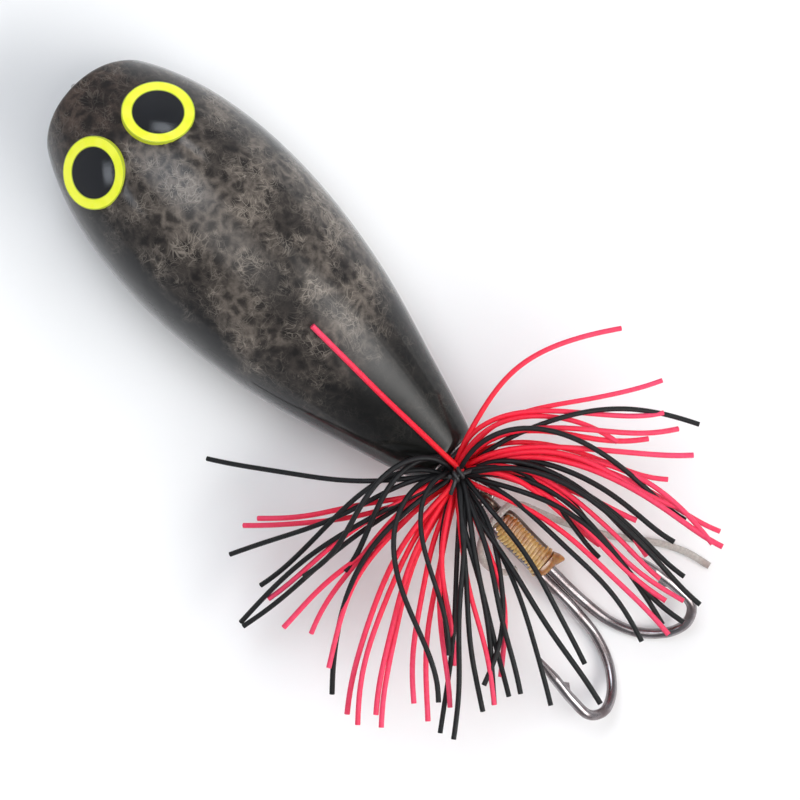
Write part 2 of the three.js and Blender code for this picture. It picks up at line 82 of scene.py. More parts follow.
def add_camera():
    data = bpy.data.cameras.new("camera")
    data.lens = LENS
    data.sensor_width = SENSOR
    data.clip_start, data.clip_end = 0.01, 10.0
    camera = placed("camera", data)
    height = VIEW_WIDTH * LENS / SENSOR
    turn = Matrix((IMAGE_RIGHT, IMAGE_UP, IMAGE_RIGHT.cross(IMAGE_UP))).transposed().to_4x4()
    place = Vector((VIEW_CENTRE[0], VIEW_CENTRE[1], VIEW_CENTRE[2] + height)) * MM
    camera.matrix_world = Matrix.Translation(place) @ turn
    bpy.context.scene.camera = camera


add_camera()


# ---- Curves and meshes ----


def between(t, start, end, first, last):
    """The value at t on a straight line that is first at start and last at end."""
    return ((end - t) * first + (t - start) * last) / (end - start)


def spline(points, steps):
    """A centripetal Catmull-Rom curve through the points, sampled evenly in its parameter."""
    points = np.array(points, float)
    ahead = 2 * points[0] - points[1]
    behind = 2 * points[-1] - points[-2]
    points = np.vstack([ahead, points, behind])
    made = []
    spans = len(points) - 3
    for place in np.linspace(0, spans, steps):
        span = min(int(place), spans - 1)
        share = place - span
        p0, p1, p2, p3 = points[span : span + 4]
        chords = [np.linalg.norm(b - a) for a, b in ((p0, p1), (p1, p2), (p2, p3))]
        t1, t2, t3 = np.cumsum([max(chord, 1e-9) ** 0.5 for chord in chords])
        t = t1 + (t2 - t1) * share
        a1 = between(t, 0, t1, p0, p1)
        a2 = between(t, t1, t2, p1, p2)
        a3 = between(t, t2, t3, p2, p3)
        made.append(between(t, t1, t2, between(t, 0, t2, a1, a2), between(t, t1, t3, a2, a3)))
    return np.array(made)


def run_length(line):
    """Distance along a line to each of its points."""
    steps = np.linalg.norm(np.diff(line, axis=0), axis=1)
    return np.concatenate([[0.0], np.cumsum(steps)])


def round_angles(count):
    return np.linspace(0, 2 * math.pi, count, endpoint=False)


def ring_about(centre, across, up, reach, angles):
    """Points round a centre. The reach is one number or one for each angle."""
    return centre + np.outer(np.cos(angles) * reach, across) + np.outer(np.sin(angles) * reach, up)


class Shape:
    """Vertices and faces that are gathered into one mesh, with a value or two on each vertex."""

    def __init__(self):
        self.points = []
        self.faces = []
        self.values = {}

    def add(self, points, faces, **values):
        start = len(self.points)
        self.points.extend([tuple(float(x) for x in point) for point in points])
        self.faces.extend([tuple(start + corner for corner in face) for face in faces])
        for name, given in values.items():
            column = self.values.setdefault(name, [])
            column.extend([0.0] * (start - len(column)))
            column.extend(np.broadcast_to(np.asarray(given, float), len(points)).tolist())

    def skin(self, rings, ends=(), **values):
        """A closed skin over rings of points. It ends in two points, or goes round to its first ring."""
        rows, sides = len(rings), len(rings[0])
        points = [point for ring in rings for point in ring]
        faces = []
        for row in range(rows - 1 if len(ends) else rows):
            here, there = row * sides, (row + 1) % rows * sides
            for step in range(sides):
                after = (step + 1) % sides
                faces.append((here + step, here + after, there + after, there + step))
        for end, row in zip(range(len(ends)), (0, rows - 1)):
            for step in range(sides):
                pair = (row * sides + step, row * sides + (step + 1) % sides)
                faces.append((len(points) + end, *(pair if end else pair[::-1])))
        self.add([*points, *ends], faces, **values)

    def sweep(self, line, radius, sides, bump=None, **values):
        """A closed tube along a line. The radius is one number or one for each point of the line."""
        line = np.array(line, float)
        count = len(line)
        radius = np.broadcast_to(np.asarray(radius, float), count)
        ways = np.gradient(line, axis=0)
        ways /= np.linalg.norm(ways, axis=1)[:, None]
        first = np.cross(ways[0], (0.0, 0.0, 1.0))
        if np.linalg.norm(first) < 0.2:
            first = np.cross(ways[0], (0.0, 1.0, 0.0))
        side = first / np.linalg.norm(first)
        distance = run_length(line)
        angles = round_angles(sides)
        rings = []
        for row in range(count):
            side = side - ways[row] * np.dot(side, ways[row])
            side /= np.linalg.norm(side)
            up = np.cross(side, ways[row])
            reach = radius[row] * (1 if bump is None else bump(distance[row], angles))
            rings.append(ring_about(line[row], side, up, reach, angles))
        along = [*np.repeat(distance, sides), 0.0, distance[-1]]
        self.skin(rings, (line[0], line[-1]), along=along, **values)

    def loop(self, line, radius, sides, **values):
        """A closed ring of round wire along a line whose ends meet."""
        line = np.array(line, float)
        ways = np.roll(line, -1, axis=0) - np.roll(line, 1, axis=0)
        normal = np.cross(line[0] - line.mean(axis=0), ways[0])
        normal /= np.linalg.norm(normal)
        angles = round_angles(sides)
        rings = []
        for point, way in zip(line, ways):
            out = np.cross(way, normal)
            out /= np.linalg.norm(out)
            rings.append(ring_about(point, out, normal, radius, angles))
        self.skin(rings, **values)

    def turned(self, profile, place, sides):
        """A closed piece turned about place's z axis, from a profile of (radius, height).

        The profile starts and ends on the axis, or it is closed and stays off the axis.
        """
        angles = round_angles(sides)
        solid = profile[0][0] == 0
        rows = profile[1:-1] if solid else profile
        rings = [[place @ Vector((r * math.cos(a), r * math.sin(a), h)) for a in angles] for r, h in rows]
        radial = np.repeat([radius for radius, _ in rows], sides)
        if solid:
            ends = [place @ Vector((0, 0, profile[end][1])) for end in (0, -1)]
            self.skin(rings, ends, radial=[*radial, 0.0, 0.0])
        else:
            self.skin(rings, radial=radial)

    def object(self, name, material, smooth_angle=40):
        """The piece as an object, with all of its faces outwards."""
        mesh = bpy.data.meshes.new(name)
        mesh.from_pydata([tuple(x * MM for x in point) for point in self.points], [], self.faces)
        for value, column in self.values.items():
            column.extend([0.0] * (len(self.points) - len(column)))
            mesh.attributes.new(value, "FLOAT", "POINT").data.foreach_set("value", column)
        mesh.materials.append(material)
        mesh.validate()
        turned = bmesh.new()
        turned.from_mesh(mesh)
        bmesh.ops.recalc_face_normals(turned, faces=turned.faces)
        turned.to_mesh(mesh)
        turned.free()
        mesh.polygons.foreach_set("use_smooth", [True] * len(mesh.polygons))
        mesh.set_sharp_from_angle(angle=math.radians(smooth_angle))
        return placed(name, mesh)


def finished(piece, body, slot, *nodes):
    """Puts a piece in the frame: what it rides on and the CAD nodes it stands for, which are hidden. The slot
    is not used.
    """
    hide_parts(*nodes)
    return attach(piece, body)


# ---- Materials ----


def linear(red, green, blue):
    """A colour given as 0 to 255 in the usual display space, as the renderer's linear colour."""
    shares = (red / 255, green / 255, blue / 255)
    parts = [share / 12.92 if share <= 0.04045 else ((share + 0.055) / 1.055) ** 2.4 for share in shares]
    return (*parts, 1.0)


class Look:
    """A material made of nodes, with short names for the nodes it needs."""

    def __init__(self, name, **sockets):
        self.material = bpy.data.materials.new(name)
        self.material.use_nodes = True
        self.tree = self.material.node_tree
        self.shader = self.tree.nodes["Principled BSDF"]
        for socket, value in sockets.items():
            self.shader.inputs[socket.replace("_", " ")].default_value = value

    def node(self, kind, inputs=None, **settings):
        made = self.tree.nodes.new(kind)
        for key, value in settings.items():
            setattr(made, key, value)
        for key, value in (inputs or {}).items():
            if isinstance(value, bpy.types.NodeSocket):
                self.tree.links.new(value, made.inputs[key])
            else:
                made.inputs[key].default_value = value
        return made

    def place(self):
        return self.node("ShaderNodeTexCoord").outputs["Object"]

    def value(self, name):
        return self.node("ShaderNodeAttribute", attribute_name=name).outputs["Fac"]

    def noise(self, scale, detail=2.0, rough=0.5, at=None, distortion=0.0, output="Fac"):
        inputs = {"Scale": scale, "Detail": detail, "Roughness": rough, "Distortion": distortion}
        inputs["Vector"] = at or self.place()
        return self.node("ShaderNodeTexNoise", inputs).outputs[output]

    def math(self, operation, first, second=0.0, clamp=False):
        made = self.node("ShaderNodeMath", {0: first, 1: second}, operation=operation, use_clamp=clamp)
        return made.outputs[0]

    def times(self, first, second):
        return self.math("MULTIPLY", first, second)

    def ramp(self, value, low, high, out_low=0.0, out_high=1.0, smooth=True):
        """A value between low and high taken to a value between out_low and out_high."""
        kind = "SMOOTHSTEP" if smooth else "LINEAR"
        inputs = {"Value": value, "From Min": low, "From Max": high, "To Min": out_low, "To Max": out_high}
        return self.node("ShaderNodeMapRange", inputs, interpolation_type=kind).outputs["Result"]

    def mix(self, share, first, second):
        """A mix of two colours. Each is a socket, or is given as 0 to 255 in the usual display space."""
        inputs = {0: share}
        for key, colour in ((6, first), (7, second)):
            inputs[key] = linear(*colour) if isinstance(colour, tuple) else colour
        return self.node("ShaderNodeMix", inputs, data_type="RGBA").outputs[2]

    def bump(self, height, distance, strength=1.0):
        inputs = {"Height": height, "Distance": distance * MM, "Strength": strength}
        self.shade("Normal", self.node("ShaderNodeBump", inputs).outputs["Normal"])

    def shade(self, socket, value):
        self.tree.links.new(value, self.shader.inputs[socket])


def body_paint():
    """Smoky grey-brown webs over black, under a thick clear coat."""
    coat = {"Coat_Weight": 1.0, "Coat_Roughness": 0.1, "Coat_IOR": 1.33}
    look = Look("body_paint", Roughness=0.55, Specular_IOR_Level=0.1, **coat)
    place = look.place()
    apart = look.node("ShaderNodeSeparateXYZ", {0: place})
    x, y = apart.outputs["X"], apart.outputs["Y"]

    def pushed(scale, amount, detail=4.0):
        drift = look.noise(scale, detail, 0.55, output="Color")
        push = look.node("ShaderNodeVectorMath", {0: drift, 1: (amount,) * 3}, operation="MULTIPLY")
        return look.node("ShaderNodeVectorMath", {0: place, 1: push.outputs[0]}, operation="ADD").outputs[0]

    def web_of(scale, width, at):
        gap = look.node("ShaderNodeTexVoronoi", {"Vector": at, "Scale": scale}, feature="DISTANCE_TO_EDGE")
        return look.ramp(gap.outputs["Distance"], 0.0, width, 1.0, 0.0)

    def threads(scale, width, distortion, at):
        grain = look.noise(scale, 1.2, 0.4, at, distortion)
        return look.ramp(look.math("ABSOLUTE", look.math("SUBTRACT", grain, 0.5)), 0.0, width, 1.0, 0.0)

    loose, curly, smooth = pushed(330.0, 0.0026), pushed(480.0, 0.0016), pushed(420.0, 0.0022, 1.0)
    clouds = look.ramp(look.noise(150.0, 5.0, 0.62, loose), 0.34, 0.66)
    grain = look.ramp(look.noise(1300.0, 4.0, 0.65), 0.25, 0.65, 0.3, 1.0)
    mist = look.times(web_of(720.0, 0.34, curly), grain)
    lift = look.times(mist, look.ramp(clouds, 0.0, 1.0, 0.18, 0.85))
    smoke = look.math("ADD", look.times(clouds, 0.16), lift)
    fine = look.math("MAXIMUM", threads(430.0, 0.013, 0.8, smooth), threads(690.0, 0.017, 1.2, smooth))
    fine = look.math("MAXIMUM", fine, look.times(threads(1050.0, 0.024, 1.6, smooth), 0.8))
    fine = look.math("MAXIMUM", fine, look.times(web_of(760.0, 0.035, smooth), 0.8))
    patchy = look.ramp(look.noise(420.0, 3.0), 0.40, 0.62, 0.08, 1.0)
    dense = look.times(patchy, look.ramp(clouds, 0.0, 0.7, 0.25, 0.9))
    fibres = look.times(fine, dense)

    # The webs cover the back, and fade to bare black at the tail and down both sides. On the frog's left they
    # give way to black sooner than on the right; that is partly painted shade of the left flank, which the
    # lamps leave unlit.
    edge = look.noise(170.0, 4.0, 0.6)
    wander = look.times(look.math("SUBTRACT", edge, 0.5), 0.022)
    rear = look.ramp(look.math("ADD", x, wander), -0.0185, -0.009, 0.08, 1.0)
    # Painted shade in part: the webs stop sooner on the unlit left flank.
    left = look.ramp(look.math("ADD", y, look.times(wander, 0.5)), 0.0078, 0.0050)
    right = look.ramp(look.math("ADD", y, look.times(wander, 0.4)), -0.0112, -0.0088)
    nose = look.ramp(x, 0.0125, 0.018, 1.0, 0.4)
    mask = look.times(look.times(rear, left), right)
    thready = look.times(mask, nose)

    black = (12, 11, 13)
    deep = look.mix(look.ramp(x, -0.026, -0.012), (10, 12, 11), black)
    # The brown darkens towards the nose. This is partly the paint's colour and partly painted shade of the
    # face where it slopes down.
    brown = look.mix(look.ramp(x, 0.010, 0.017), (112, 103, 95), (84, 71, 64))
    under = look.mix(look.times(mask, 0.5), deep, (36, 32, 31))
    smoky = look.mix(look.math("MULTIPLY", smoke, mask, clamp=True), under, brown)
    look.shade("Base Color", look.mix(look.times(fibres, thready), smoky, (140, 131, 121)))
    look.shade("Roughness", look.ramp(clouds, 0.0, 1.0, 0.45, 0.62))
    look.bump(look.noise(90.0, 2.0), 0.05, 0.35)
    return look.material


def eye_iris():
    # The ring is given a painted glow: it gives off light in its own lime colour, though it is no lamp.
    look = Look("eye_iris", Roughness=0.5, Emission_Strength=0.3)
    grain = look.noise(900.0, 4.0)
    lime = look.mix(look.ramp(grain, 0.35, 0.65), (236, 240, 40), (246, 246, 66))
    radial = look.value("radial")
    # Dark olive lines are painted at both edges of the ring. The one at the outer edge is painted shade of
    # the clear coat's edge.
    rim = look.ramp(radial, EYE_RADIUS - 0.17, EYE_RADIUS - 0.02)
    lip = look.ramp(radial, PUPIL_RADIUS + 0.15, PUPIL_RADIUS + 0.03)
    look.shade("Base Color", look.mix(look.math("MAXIMUM", rim, lip), lime, (120, 140, 24)))
    # Painted glow of the ring.
    look.shade("Emission Color", lime)
    look.bump(grain, 0.02, 0.3)
    return look.material


def eye_pupil():
    look = Look("eye_pupil", Roughness=0.4, Specular_IOR_Level=0.3)
    cloud = look.noise(300.0, 3.0)
    look.shade("Base Color", look.mix(cloud, (10, 10, 13), (16, 16, 21)))
    look.shade("Roughness", look.ramp(cloud, 0.3, 0.7, 0.35, 0.5))
    return look.material


def eye_dome():
    """Clear resin: it lets light straight through and mirrors at its surface."""
    look = Look("eye_dome")
    clear = look.node("ShaderNodeBsdfTransparent", {"Color": (0.97, 0.98, 1.0, 1.0)})
    gloss = look.node("ShaderNodeBsdfGlossy", {"Roughness": 0.06})
    ripple = look.noise(220.0, 2.0)
    inputs = {"Height": ripple, "Distance": 0.02 * MM, "Strength": 0.3}
    tilt = look.node("ShaderNodeBump", inputs).outputs["Normal"]
    look.tree.links.new(tilt, gloss.inputs["Normal"])
    fresnel = look.node("ShaderNodeFresnel", {"IOR": 1.5, "Normal": tilt}).outputs["Fac"]
    outside = look.math("SUBTRACT", 1.0, look.node("ShaderNodeNewGeometry").outputs["Backfacing"])
    share = look.times(fresnel, outside)
    both = look.node("ShaderNodeMixShader", {0: share, 1: clear.outputs[0], 2: gloss.outputs[0]})
    look.tree.links.new(both.outputs[0], look.tree.nodes["Material Output"].inputs["Surface"])
    look.tree.nodes.remove(look.shader)
    return look.material


def rubber(name, root, middle, tip, rough, glow):
    """Skirt rubber, darker at the root and paler towards the cut tip."""
    look = Look(name, Specular_IOR_Level=0.35, Subsurface_Weight=glow, Subsurface_Scale=0.6 * MM)
    along = look.value("along")
    tone = look.value("tone")
    first = look.mix(look.ramp(along, 1.0, 9.0), root, middle)
    colour = look.mix(look.ramp(along, 8.0, 24.0), first, tip)
    speck = look.noise(2600.0, 3.0, 0.6)
    shift = look.math("ADD", look.ramp(speck, 0.3, 0.7, -0.5, 0.5), tone)
    dark = look.mix(look.ramp(shift, -1.0, 1.0, 0.0, 0.32), colour, root)
    look.shade("Base Color", dark)
    look.shade("Roughness", look.ramp(speck, 0.3, 0.7, rough - 0.06, rough + 0.08))
    look.bump(speck, 0.03, 0.4)
    return look.material


def metal(name, colour, blotch_colour, rough, scratch=0.015):
    look = Look(name, Metallic=1.0)
    fog = look.noise(420.0, 4.0, 0.6)
    # A second colour is mixed in, in patches laid by noise.
    look.shade("Base Color", look.mix(look.ramp(fog, 0.4, 0.7), colour, blotch_colour))
    fine = look.noise(5200.0, 3.0)
    look.shade("Roughness", look.ramp(fog, 0.3, 0.7, rough, rough + 0.1))
    look.bump(fine, scratch, 0.25)
    return look.material


def lashing_thread():
    look = Look("lashing_thread", Coat_Weight=1.0, Coat_Roughness=0.12)
    blotch = look.noise(520.0, 4.0, 0.65)
    twist = look.noise(4200.0, 2.0)
    back = look.value("back")
    gold = look.mix(look.ramp(blotch, 0.42, 0.62), (206, 166, 92), (168, 108, 36))
    amber = look.mix(look.ramp(back, 0.0, 3.4), (158, 84, 28), gold)
    # Pale gold on the frog's left side of the lashing is a painted highlight.
    aside = look.node("ShaderNodeSeparateXYZ", {0: look.place()}).outputs["Y"]
    low = look.mix(look.ramp(aside, 0.0002, 0.0018), amber, (216, 186, 112))
    look.shade("Base Color", look.mix(look.ramp(twist, 0.35, 0.65, 0.0, 0.35), low, (128, 80, 28)))
    look.shade("Roughness", look.ramp(blotch, 0.3, 0.7, 0.25, 0.5))
    look.bump(twist, 0.03, 0.5)
    return look.material


def resin():
    glow = {"Subsurface_Weight": 0.35, "Subsurface_Scale": 0.8 * MM}
    look = Look("resin", Roughness=0.12, Coat_Weight=1.0, Coat_Roughness=0.03, **glow)
    cloud = look.noise(700.0, 4.0, 0.6)
    amber = look.mix(look.ramp(cloud, 0.35, 0.68), (176, 118, 44), (112, 62, 18))
    look.shade("Base Color", amber)
    look.bump(cloud, 0.08, 0.4)
    return look.material


def braid():
    look = Look("braid", Roughness=0.85, Sheen_Weight=0.3)
    fuzz = look.noise(3800.0, 5.0, 0.7)
    patch_noise = look.noise(330.0, 3.0)
    # Pinkish patches laid by noise.
    pale = look.mix(look.ramp(patch_noise, 0.4, 0.7), (200, 195, 188), (176, 156, 150))
    look.shade("Base Color", look.mix(look.ramp(fuzz, 0.3, 0.7, 0.0, 0.5), pale, (134, 129, 122)))
    look.bump(fuzz, 0.06, 0.6)
    return look.material


def winding():
    """Black rubber thread, as it is wound round the skirt's root."""
    look = Look("winding", Roughness=0.6, Coat_Weight=0.3, Coat_Roughness=0.3)
    fuzz = look.noise(3600.0, 4.0, 0.6)
    look.shade("Base Color", look.mix(fuzz, (16, 16, 18), (40, 39, 42)))
    look.bump(fuzz, 0.04, 0.6)
    return look.material


def casting():
    look = Look("casting", Metallic=0.8)
    grit = look.noise(1400.0, 5.0, 0.65)
    look.shade("Base Color", look.mix(grit, (96, 98, 102), (140, 141, 144)))
    look.shade("Roughness", look.ramp(grit, 0.3, 0.7, 0.45, 0.7))
    look.bump(grit, 0.08, 0.6)
    return look.material


PAINT = body_paint()
IRIS = eye_iris()
PUPIL = eye_pupil()
DOME = eye_dome()
RED = rubber("red_rubber", (222, 10, 28), (246, 28, 60), (240, 74, 112), 0.5, 0.12)
BLACK = rubber("black_rubber", (10, 10, 13), (15, 15, 18), (22, 23, 24), 0.55, 0.0)
BAND_RUBBER = winding()
STEEL = metal("steel_wire", (172, 168, 166), (128, 120, 118), 0.22)
BLACK_STEEL = metal("black_nickel", (156, 150, 152), (118, 106, 106), 0.2)
HANGER_STEEL = metal("hanger_steel", (112, 98, 88), (74, 60, 52), 0.25)
THREAD = lashing_thread()
RESIN = resin()
BRAID = braid()
CASTING = casting()


# ---- Backing cord ----

CORD_RADIUS = 0.35
CORD_ROUTE = [
    (-40.3, 2.75, 4.0), (-39.9, 3.6, 4.2), (-38.9, 4.35, 4.5), (-37.6, 4.5, 4.9), (-36.5, 3.9, 5.5),
    (-35.8, 2.8, 6.3), (-35.45, 1.5, 6.9), (-35.4, 0.1, 7.15), (-35.5, -1.1, 6.75), (-36.3, -1.9, 5.8),
    (-37.7, -2.5, 4.6), (-39.3, -3.1, 3.2), (-41.0, -3.9, 1.8), (-42.8, -4.8, 0.85), (-44.6, -5.9, 0.5),
    (-46.5, -7.3, 0.45), (-48.6, -8.8, 0.45), (-50.9, -9.9, 0.45), (-53.3, -10.5, 0.45),
]
CORD_SIDES = 16
BRAID_STRANDS = 4  # crossing each way round the cord
BRAID_PITCH = 0.55


def braided(distance, angles):
    """How far the braid stands out at each angle round the cord."""
    turn = math.pi * distance / BRAID_PITCH
    one = np.cos(BRAID_STRANDS / 2 * angles + turn)
    other = np.cos(BRAID_STRANDS / 2 * angles - turn)
    return 0.8 + 0.2 * np.maximum(np.abs(one), np.abs(other))


def backing_cord():
    line = spline(CORD_ROUTE, 420)
    shape = Shape()
    shape.sweep(line, CORD_RADIUS, CORD_SIDES, bump=braided)
    cord = shape.object("braided_cord", BRAID)
    finished(cord, HOOK_BODY, "cord", "backing_cord")


backing_cord()


# ---- Body ----

# [station, half width, height of the back, height of the belly]
BODY_OUTLINE = np.array(
    [
        [-0.6, 4.0, 11.9, 2.6],
        [2.3, 6.1, 13.3, 1.9],
        [6.9, 8.3, 15.2, 0.7],
        [13, 9.75, 17.0, -0.25],
        [19.5, 10.2, 17.8, -0.5],
        [27, 9.65, 17.0, -0.3],
        [34, 8.35, 15.2, 0.7],
        [42, 5.95, 12.7, 2.6],
        [48, 4.1, 11.1, 4.3],
        [50, 3.4, 10.6, 4.8],
    ]
)
BACK_ROUNDNESS = 2.05  # exponents of the cross-section's two halves, 2 being an ellipse
BELLY_ROUNDNESS = 2.3
BODY_END = 50.0
WALL = 1.6
FACE_TOP = (-0.05, 12.0)  # station and height of two points of the slanted mouth face
FACE_CHIN = (5.0, 3.0)
FACE_SLOPE = (FACE_CHIN[0] - FACE_TOP[0]) / (FACE_TOP[1] - FACE_CHIN[1])
CUP_DEPTH, CUP_HALF_WIDTH, CUP_HALF_HEIGHT = 3.2, 5.1, 4.3
SEAT_RADIUS, SEAT_DEPTH = 1.3, 2.5  # hole in the tail that the ferrule sits in
HOLLOW = (10.0, 46.5)  # stations of the ends of the hollow inside the shells
REAR_CORNER, RIM_CORNER = 0.6, 0.55  # lengths of skin that the rounded corners take up
COLUMNS = 96  # over half of the body's girth
SKIN_ROWS = 200
CLOSER_AT_ENDS = 0.09  # how much the rows of the skin crowd towards the tail and the mouth


def fair_outline():
    """The outline sampled finely and smoothed, so that the gloss shows no waves."""
    samples, pad, blur = 507, 60, 16.0
    known = BODY_OUTLINE[:, 0]
    stations = np.linspace(known[0], BODY_END, samples)
    fair = [stations]
    for column in (1, 2, 3):
        heights = BODY_OUTLINE[:, column]
        slopes = np.gradient(heights, known, edge_order=2)
        span = np.clip(np.searchsorted(known, stations, side="right") - 1, 0, len(known) - 2)
        width = known[span + 1] - known[span]
        t = (stations - known[span]) / width
        curve = (
            (2 * t**3 - 3 * t**2 + 1) * heights[span]
            + (t**3 - 2 * t**2 + t) * width * slopes[span]
            + (3 * t**2 - 2 * t**3) * heights[span + 1]
            + (t**3 - t**2) * width * slopes[span + 1]
        )
        before = 2 * curve[0] - curve[pad:0:-1]
        beyond = 2 * curve[-1] - curve[-2 : -pad - 2 : -1]
        padded = np.concatenate([before, curve, beyond])
        weights = np.exp(-0.5 * (np.arange(-50, 51) / blur) ** 2)
        fair.append(np.convolve(padded, weights / weights.sum(), mode="same")[pad:-pad])
    return np.array(fair)


FAIR = fair_outline()


def body_at(station):
    return [np.interp(station, FAIR[0], FAIR[column]) for column in (1, 2, 3)]


def skin_point(station, angle, inset=0.0):
    """A point of the body's skin. Angle 0 is the left side and 90 degrees is the back."""
    half_width, back, belly = body_at(station)
    side, up = math.cos(angle), math.sin(angle)
    power = 2 / (BACK_ROUNDNESS if up >= 0 else BELLY_ROUNDNESS)
    rise = back - WIRE_Z if up >= 0 else WIRE_Z - belly
    y = math.copysign(abs(side) ** power, side) * (half_width - inset)
    z = WIRE_Z + math.copysign(abs(up) ** power, up) * (rise - inset)
    if inset == 0 and up < 0:
        z = 0.5 * (z + math.hypot(z, 0.25))  # the belly is rubbed flat where the lure rests
    return np.array([NOSE_X - station, y, z])


def ahead_of_face(point):
    """How far a point is ahead of the slanted mouth face, along X."""
    return point[0] - (NOSE_X - FACE_TOP[0] - (FACE_TOP[1] - point[2]) * FACE_SLOPE)


def rim_station(angle):
    """Station where the skin meets the mouth face, found by halving."""
    low, high = -0.6, 9.0
    for _ in range(30):
        middle = (low + high) / 2
        if ahead_of_face(skin_point(middle, angle)) > 0:
            low = middle
        else:
            high = middle
    return high


def rounded(before, corner, after, steps):
    """Points of a smooth corner between two points, without the first."""
    shares = np.linspace(0, 1, steps + 1)[1:, None]
    return (1 - shares) ** 2 * before + 2 * shares * (1 - shares) * corner + shares**2 * after


def toward(start, end, distance):
    way = end - start
    return start + way / np.linalg.norm(way) * distance


FACE_UP = np.array([FACE_SLOPE, 0.0, 1.0]) / math.hypot(FACE_SLOPE, 1)
CUP_CENTRE = np.array([NOSE_X - FACE_TOP[0] - (FACE_TOP[1] - WIRE_Z) * FACE_SLOPE, 0.0, WIRE_Z])


def cup_point(angle, share):
    """A point of the mouth's hollow: share is 0 in the middle and 1 on its edge."""
    across = np.array([0.0, CUP_HALF_WIDTH * math.cos(angle), 0.0])
    up = FACE_UP * CUP_HALF_HEIGHT * math.sin(angle)
    return CUP_CENTRE + share * (across + up) - np.array([CUP_DEPTH * math.sqrt(max(1 - share**2, 0)), 0, 0])


def body_column(angle):
    """One line of the body's outside, from the seat in the tail, over the skin and into the mouth."""
    side, up = math.cos(angle), math.sin(angle)
    tail_x = NOSE_X - BODY_END
    seat = np.array([tail_x, SEAT_RADIUS * side, WIRE_Z + SEAT_RADIUS * up])
    inside = seat + np.array([SEAT_DEPTH, 0, 0])
    edge = skin_point(BODY_END, angle)
    line = [inside, toward(inside, seat, SEAT_DEPTH - 0.2)]
    line.extend(rounded(line[-1], seat, toward(seat, edge, 0.2), 3))
    line.extend(np.linspace(toward(seat, edge, 0.5), toward(edge, seat, 0.7), 3))
    first = BODY_END - REAR_CORNER
    line.extend(rounded(toward(edge, seat, 0.55), edge, skin_point(first, angle), 6))

    rim = rim_station(angle)
    shares = np.linspace(0, 1, SKIN_ROWS)
    shares -= CLOSER_AT_ENDS * np.sin(2 * math.pi * shares) / math.pi
    for share in shares[1:]:
        line.append(skin_point(first + (rim + RIM_CORNER - first) * share, angle))
    corner = skin_point(rim, angle)
    cup_edge = cup_point(angle, 1.0)
    line.extend(rounded(line[-1], corner, toward(corner, cup_edge, 0.5), 7))
    lip = np.linalg.norm(cup_edge - corner)
    line.append(toward(corner, cup_edge, max(0.6, lip / 2)))
    before = toward(cup_edge, corner, 0.35)
    deep = cup_point(angle, 0.97)
    line.append(before)
    line.extend(rounded(before, toward(cup_edge, deep, 0.05), deep, 5))
    line.extend(cup_point(angle, share) for share in np.sin(np.linspace(1.28, 0.02, 26)))
    return line


EYES = {"left": (7.27, 4.5, 1), "right": (7.55, 3.97, -1)}  # station, distance from the middle, side
EYE_FORWARD, EYE_OUTWARD = 0.344, 0.414  # parts of the way it looks, the rest being up
EYE_RIM = EYE_RADIUS - 0.15  # radius of the hollow in the skin under the eye
PLATE_DEPTH, DOME_RISE = 0.5, 0.42
EYE_SIDES = 96


def back_height(station, y):
    """Height of the back's surface at a station, at a distance from the middle."""
    half_width, back, _ = body_at(station)
    share = min(abs(y) / half_width, 0.999) ** BACK_ROUNDNESS
    return WIRE_Z + (back - WIRE_Z) * (1 - share) ** (1 / BACK_ROUNDNESS)


def eye_place(eye):
    """The eye's frame: z looks out of it, from the point of the back's surface in its middle."""
    station, y, side = eye
    upward = math.sqrt(1 - EYE_FORWARD**2 - EYE_OUTWARD**2)
    normal = Vector((EYE_FORWARD, side * EYE_OUTWARD, upward))
    turn = Vector((0, 0, 1)).rotation_difference(normal).to_matrix().to_4x4()
    middle = Vector((NOSE_X - station, side * y, back_height(station, y)))
    return Matrix.Translation(middle) @ turn


def eye_seat(eye):
    """Height of the eye's plate over the middle of its frame, so that the skin just meets its edge."""
    out = eye_place(eye)
    into = out.inverted()
    heights = []
    for step in range(48):
        angle = 2 * math.pi * step / 48
        x, y = EYE_RADIUS * math.cos(angle), EYE_RADIUS * math.sin(angle)
        guess = out @ Vector((x, y, 0))
        for _ in range(4):
            top = into @ Vector((guess.x, guess.y, back_height(NOSE_X - guess.x, guess.y)))
            guess = out @ Vector((x, y, top.z))
        heights.append((into @ guess).z)
    return max(heights) + 0.02


def sink_under_eyes(grid):
    """Lowers the skin under each eye's plate, which covers the edge of the hollow."""
    for eye in EYES.values():
        out = eye_place(eye)
        into = out.inverted()
        sunk = eye_seat(eye) - 0.4
        for row in grid:
            for column, point in enumerate(row):
                if point[2] < WIRE_Z + 2 or point[0] < 5:
                    continue
                local = into @ Vector(point)
                if math.hypot(local.x, local.y) < EYE_RIM and local.z > sunk:
                    local.z = sunk
                    row[column] = np.array(out @ local)


def half_skin(points, rows, ends):
    """Adds rows of points that go halfway round and a point for each end. Gives the faces and the rim."""
    start, across = len(points), COLUMNS + 1
    points.extend(point for row in rows for point in row)
    first, second = len(points), len(points) + 1
    points.extend(ends)
    final = first - across
    corners = [row + step for row in range(start, final, across) for step in range(COLUMNS)]
    faces = [(corner, corner + across, corner + across + 1, corner + 1) for corner in corners]
    for step in range(COLUMNS):
        faces.append((first, start + step, start + step + 1))
        faces.append((second, final + step + 1, final + step))
    return faces, [first, *range(start, final + 1, across), second, *range(final + COLUMNS, start, -across)]


